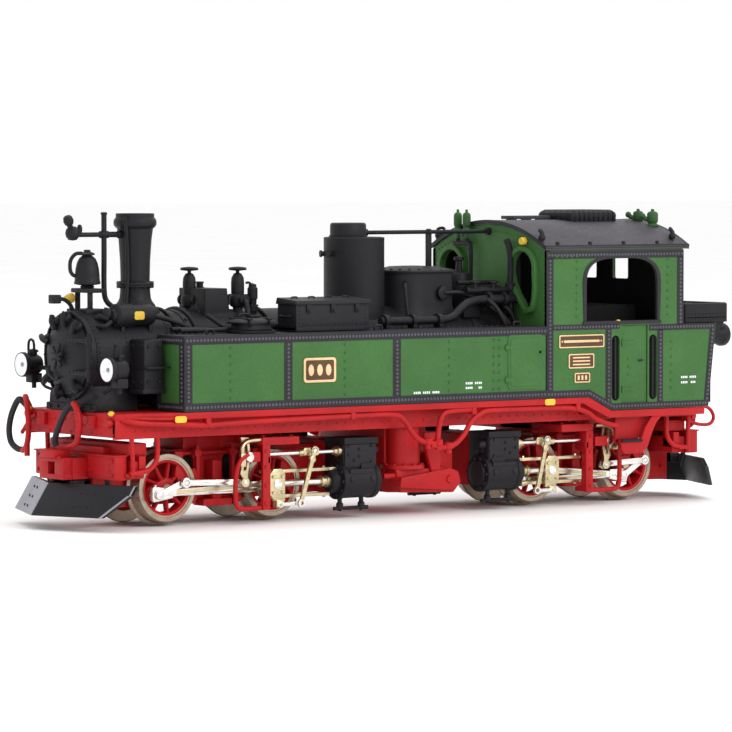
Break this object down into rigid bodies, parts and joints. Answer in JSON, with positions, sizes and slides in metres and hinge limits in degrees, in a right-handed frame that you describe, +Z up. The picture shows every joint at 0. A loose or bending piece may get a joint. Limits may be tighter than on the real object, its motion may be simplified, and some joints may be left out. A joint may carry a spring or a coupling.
{
  "type": "narrow gauge tank locomotive model",
  "caption": "Model of a narrow-gauge articulated tank locomotive: swivelling bogies with working rods and valve gear carry a boiler, side tanks, cab and coal bunker.",
  "frame": {"origin": "middle of the locomotive at the bottom of the wheel flanges", "axes": "-X towards the chimney end, +X towards the cab end, +Z up, -Y is the left side when facing the chimney end"},
  "size_m": [0.1076, 0.025, 0.0392],
  "materials": {
    "green_paint": "satin green, printed dark riveted bands",
    "black_body": "satin anthracite",
    "red_frame": "satin red",
    "red_wheel": "red spoked centre, dark metal tyre",
    "plough_grey": "dark grey",
    "grey_roof": "matt grey",
    "bright_steel": "bright nickel",
    "nickel_gear": "warm nickel",
    "motor_steel": "plain",
    "circuit_board": "solder mask"
  },
  "bodies": {
    "chassis": {"main_frame": "red_frame", "ash_pan": "red_frame", "boiler": "black_body", "smokebox": "black_body", "smokebox_door": "black_body", "chimney": "black_body", "bell": "black_body", "sand_box": "black_body", "steam_dome": "black_body", "regulator_box": "black_body", "regulator_rod": "black_body", "left_tank": "green_paint", "right_tank": "green_paint", "tool_box": "black_body", "left_filler_lid": "black_body", "right_filler_lid": "black_body", "left_headlamp": "black_body", "right_headlamp": "black_body", "cab_shell": "green_paint", "cab_roof": "grey_roof", "roof_vent": "black_body", "coal_bunker": "black_body", "motor": "motor_steel", "circuit_board": "circuit_board"},
    "front_bogie": {"front_bogie_frame": "red_frame", "front_plough": "plough_grey", "front_left_cylinder": "black_body", "front_right_cylinder": "black_body"},
    "front_outer_wheelset": {"front_outer_wheelset": "red_wheel"},
    "front_inner_wheelset": {"front_inner_wheelset": "red_wheel"},
    "front_left_coupling_rod": {"front_left_coupling_rod": "bright_steel"},
    "front_left_connecting_rod": {"front_left_connecting_rod": "bright_steel"},
    "front_left_eccentric_rod": {"front_left_eccentric_rod": "bright_steel"},
    "front_left_crosshead": {"front_left_crosshead": "nickel_gear"},
    "front_left_combination_lever": {"front_left_combination_lever": "nickel_gear"},
    "front_left_expansion_link": {"front_left_expansion_link": "nickel_gear"},
    "front_right_coupling_rod": {"front_right_coupling_rod": "bright_steel"},
    "front_right_connecting_rod": {"front_right_connecting_rod": "bright_steel"},
    "front_right_eccentric_rod": {"front_right_eccentric_rod": "bright_steel"},
    "front_right_crosshead": {"front_right_crosshead": "nickel_gear"},
    "front_right_combination_lever": {"front_right_combination_lever": "nickel_gear"},
    "front_right_expansion_link": {"front_right_expansion_link": "nickel_gear"},
    "rear_bogie": {"rear_bogie_frame": "red_frame", "rear_plough": "plough_grey", "rear_left_cylinder": "black_body", "rear_right_cylinder": "black_body"},
    "rear_outer_wheelset": {"rear_outer_wheelset": "red_wheel"},
    "rear_inner_wheelset": {"rear_inner_wheelset": "red_wheel"},
    "rear_left_coupling_rod": {"rear_left_coupling_rod": "bright_steel"},
    "rear_left_connecting_rod": {"rear_left_connecting_rod": "bright_steel"},
    "rear_left_eccentric_rod": {"rear_left_eccentric_rod": "bright_steel"},
    "rear_left_crosshead": {"rear_left_crosshead": "nickel_gear"},
    "rear_left_combination_lever": {"rear_left_combination_lever": "nickel_gear"},
    "rear_left_expansion_link": {"rear_left_expansion_link": "nickel_gear"},
    "rear_right_coupling_rod": {"rear_right_coupling_rod": "bright_steel"},
    "rear_right_connecting_rod": {"rear_right_connecting_rod": "bright_steel"},
    "rear_right_eccentric_rod": {"rear_right_eccentric_rod": "bright_steel"},
    "rear_right_crosshead": {"rear_right_crosshead": "nickel_gear"},
    "rear_right_combination_lever": {"rear_right_combination_lever": "nickel_gear"},
    "rear_right_expansion_link": {"rear_right_expansion_link": "nickel_gear"}
  },
  "joints": [
    {"name": "front_bogie_swivel", "type": "hinge", "parent": "chassis", "child": "front_bogie", "pos_m": [-0.0291, 0, 0.0105], "axis": [0, 0, 1], "range_deg": [-6, 6]},
    {"name": "front_outer_axle_spin", "type": "hinge", "parent": "front_bogie", "child": "front_outer_wheelset", "pos_m": [-0.03715, 0, 0.00487], "axis": [0, 1, 0], "continuous": true},
    {"name": "front_inner_axle_spin", "type": "hinge", "parent": "front_bogie", "child": "front_inner_wheelset", "pos_m": [-0.02105, 0, 0.00487], "axis": [0, 1, 0], "continuous": true},
    {"name": "front_left_coupling_rod_pin", "type": "hinge", "parent": "front_outer_wheelset", "child": "front_left_coupling_rod", "pos_m": [-0.03922, 0, 0.0042], "axis": [0, 1, 0], "continuous": true},
    {"name": "front_left_connecting_rod_pin", "type": "hinge", "parent": "front_outer_wheelset", "child": "front_left_connecting_rod", "pos_m": [-0.03922, 0, 0.0042], "axis": [0, 1, 0], "continuous": true},
    {"name": "front_left_eccentric_rod_pin", "type": "hinge", "parent": "front_outer_wheelset", "child": "front_left_eccentric_rod", "pos_m": [-0.03576, 0, 0.00555], "axis": [0, 1, 0], "continuous": true},
    {"name": "front_left_crosshead_slide", "type": "slide", "parent": "front_bogie", "child": "front_left_crosshead", "axis": [1, 0, 0], "range_m": [-0.00009, 0.00426]},
    {"name": "front_left_combination_lever_swing", "type": "hinge", "parent": "front_bogie", "child": "front_left_combination_lever", "pos_m": [-0.0172, 0, 0.009], "axis": [0, 1, 0], "range_deg": [-37.1, 0.9]},
    {"name": "front_left_expansion_link_swing", "type": "hinge", "parent": "front_bogie", "child": "front_left_expansion_link", "pos_m": [-0.02715, 0, 0.0085], "axis": [0, 1, 0], "range_deg": [-3.3, 28.3]},
    {"name": "front_right_coupling_rod_pin", "type": "hinge", "parent": "front_outer_wheelset", "child": "front_right_coupling_rod", "pos_m": [-0.03782, 0, 0.00694], "axis": [0, 1, 0], "continuous": true},
    {"name": "front_right_connecting_rod_pin", "type": "hinge", "parent": "front_outer_wheelset", "child": "front_right_connecting_rod", "pos_m": [-0.03782, 0, 0.00694], "axis": [0, 1, 0], "continuous": true},
    {"name": "front_right_eccentric_rod_pin", "type": "hinge", "parent": "front_outer_wheelset", "child": "front_right_eccentric_rod", "pos_m": [-0.03647, 0, 0.00348], "axis": [0, 1, 0], "continuous": true},
    {"name": "front_right_crosshead_slide", "type": "slide", "parent": "front_bogie", "child": "front_right_crosshead", "axis": [1, 0, 0], "range_m": [-0.00137, 0.00298]},
    {"name": "front_right_combination_lever_swing", "type": "hinge", "parent": "front_bogie", "child": "front_right_combination_lever", "pos_m": [-0.0172, 0, 0.009], "axis": [0, 1, 0], "range_deg": [-26, 12]},
    {"name": "front_right_expansion_link_swing", "type": "hinge", "parent": "front_bogie", "child": "front_right_expansion_link", "pos_m": [-0.02715, 0, 0.0085], "axis": [0, 1, 0], "range_deg": [-16.3, 15.3]},
    {"name": "rear_bogie_swivel", "type": "hinge", "parent": "chassis", "child": "rear_bogie", "pos_m": [0.0291, 0, 0.0105], "axis": [0, 0, 1], "range_deg": [-6, 6]},
    {"name": "rear_outer_axle_spin", "type": "hinge", "parent": "rear_bogie", "child": "rear_outer_wheelset", "pos_m": [0.03715, 0, 0.00487], "axis": [0, 1, 0], "continuous": true},
    {"name": "rear_inner_axle_spin", "type": "hinge", "parent": "rear_bogie", "child": "rear_inner_wheelset", "pos_m": [0.02105, 0, 0.00487], "axis": [0, 1, 0], "continuous": true},
    {"name": "rear_left_coupling_rod_pin", "type": "hinge", "parent": "rear_outer_wheelset", "child": "rear_left_coupling_rod", "pos_m": [0.03536, 0, 0.00362], "axis": [0, 1, 0], "continuous": true},
    {"name": "rear_left_connecting_rod_pin", "type": "hinge", "parent": "rear_outer_wheelset", "child": "rear_left_connecting_rod", "pos_m": [0.03536, 0, 0.00362], "axis": [0, 1, 0], "continuous": true},
    {"name": "rear_left_eccentric_rod_pin", "type": "hinge", "parent": "rear_outer_wheelset", "child": "rear_left_eccentric_rod", "pos_m": [0.03853, 0, 0.00557], "axis": [0, 1, 0], "continuous": true},
    {"name": "rear_left_crosshead_slide", "type": "slide", "parent": "rear_bogie", "child": "rear_left_crosshead", "axis": [1, 0, 0], "range_m": [-0.00045, 0.0039]},
    {"name": "rear_left_combination_lever_swing", "type": "hinge", "parent": "rear_bogie", "child": "rear_left_combination_lever", "pos_m": [0.0205, 0, 0.009], "axis": [0, 1, 0], "range_deg": [-34, 4.1]},
    {"name": "rear_left_expansion_link_swing", "type": "hinge", "parent": "rear_bogie", "child": "rear_left_expansion_link", "pos_m": [0.03115, 0, 0.0085], "axis": [0, 1, 0], "range_deg": [-3.1, 28.8]},
    {"name": "rear_right_coupling_rod_pin", "type": "hinge", "parent": "rear_outer_wheelset", "child": "rear_right_coupling_rod", "pos_m": [0.0359, 0, 0.00666], "axis": [0, 1, 0], "continuous": true},
    {"name": "rear_right_connecting_rod_pin", "type": "hinge", "parent": "rear_outer_wheelset", "child": "rear_right_connecting_rod", "pos_m": [0.0359, 0, 0.00666], "axis": [0, 1, 0], "continuous": true},
    {"name": "rear_right_eccentric_rod_pin", "type": "hinge", "parent": "rear_outer_wheelset", "child": "rear_right_eccentric_rod", "pos_m": [0.03785, 0, 0.00349], "axis": [0, 1, 0], "continuous": true},
    {"name": "rear_right_crosshead_slide", "type": "slide", "parent": "rear_bogie", "child": "rear_right_crosshead", "axis": [1, 0, 0], "range_m": [-0.00104, 0.00331]},
    {"name": "rear_right_combination_lever_swing", "type": "hinge", "parent": "rear_bogie", "child": "rear_right_combination_lever", "pos_m": [0.0205, 0, 0.009], "axis": [0, 1, 0], "range_deg": [-28.9, 9.2]},
    {"name": "rear_right_expansion_link_swing", "type": "hinge", "parent": "rear_bogie", "child": "rear_right_expansion_link", "pos_m": [0.03115, 0, 0.0085], "axis": [0, 1, 0], "range_deg": [-15.2, 16.7]}
  ],
  "couplings": [
    {"joint": "front_inner_axle_spin", "follows": "front_outer_axle_spin", "ratio": 1},
    {"joint": "front_left_coupling_rod_pin", "follows": "front_outer_axle_spin", "ratio": -1},
    {"joint": "front_left_connecting_rod_pin", "follows": "front_outer_axle_spin", "ratio": -1},
    {"joint": "front_left_eccentric_rod_pin", "follows": "front_outer_axle_spin", "ratio": -1},
    {"joint": "front_left_combination_lever_swing", "follows": "front_left_crosshead_slide", "rad_per_m": -151.51},
    {"joint": "front_right_coupling_rod_pin", "follows": "front_outer_axle_spin", "ratio": -1},
    {"joint": "front_right_connecting_rod_pin", "follows": "front_outer_axle_spin", "ratio": -1},
    {"joint": "front_right_eccentric_rod_pin", "follows": "front_outer_axle_spin", "ratio": -1},
    {"joint": "front_right_combination_lever_swing", "follows": "front_right_crosshead_slide", "rad_per_m": -151.51},
    {"joint": "rear_outer_axle_spin", "follows": "front_outer_axle_spin", "ratio": 1},
    {"joint": "rear_inner_axle_spin", "follows": "front_outer_axle_spin", "ratio": 1},
    {"joint": "rear_left_coupling_rod_pin", "follows": "front_outer_axle_spin", "ratio": -1},
    {"joint": "rear_left_connecting_rod_pin", "follows": "front_outer_axle_spin", "ratio": -1},
    {"joint": "rear_left_eccentric_rod_pin", "follows": "front_outer_axle_spin", "ratio": -1},
    {"joint": "rear_left_combination_lever_swing", "follows": "rear_left_crosshead_slide", "rad_per_m": -151.51},
    {"joint": "rear_right_coupling_rod_pin", "follows": "front_outer_axle_spin", "ratio": -1},
    {"joint": "rear_right_connecting_rod_pin", "follows": "front_outer_axle_spin", "ratio": -1},
    {"joint": "rear_right_eccentric_rod_pin", "follows": "front_outer_axle_spin", "ratio": -1},
    {"joint": "rear_right_combination_lever_swing", "follows": "rear_right_crosshead_slide", "rad_per_m": -151.51}
  ]
}
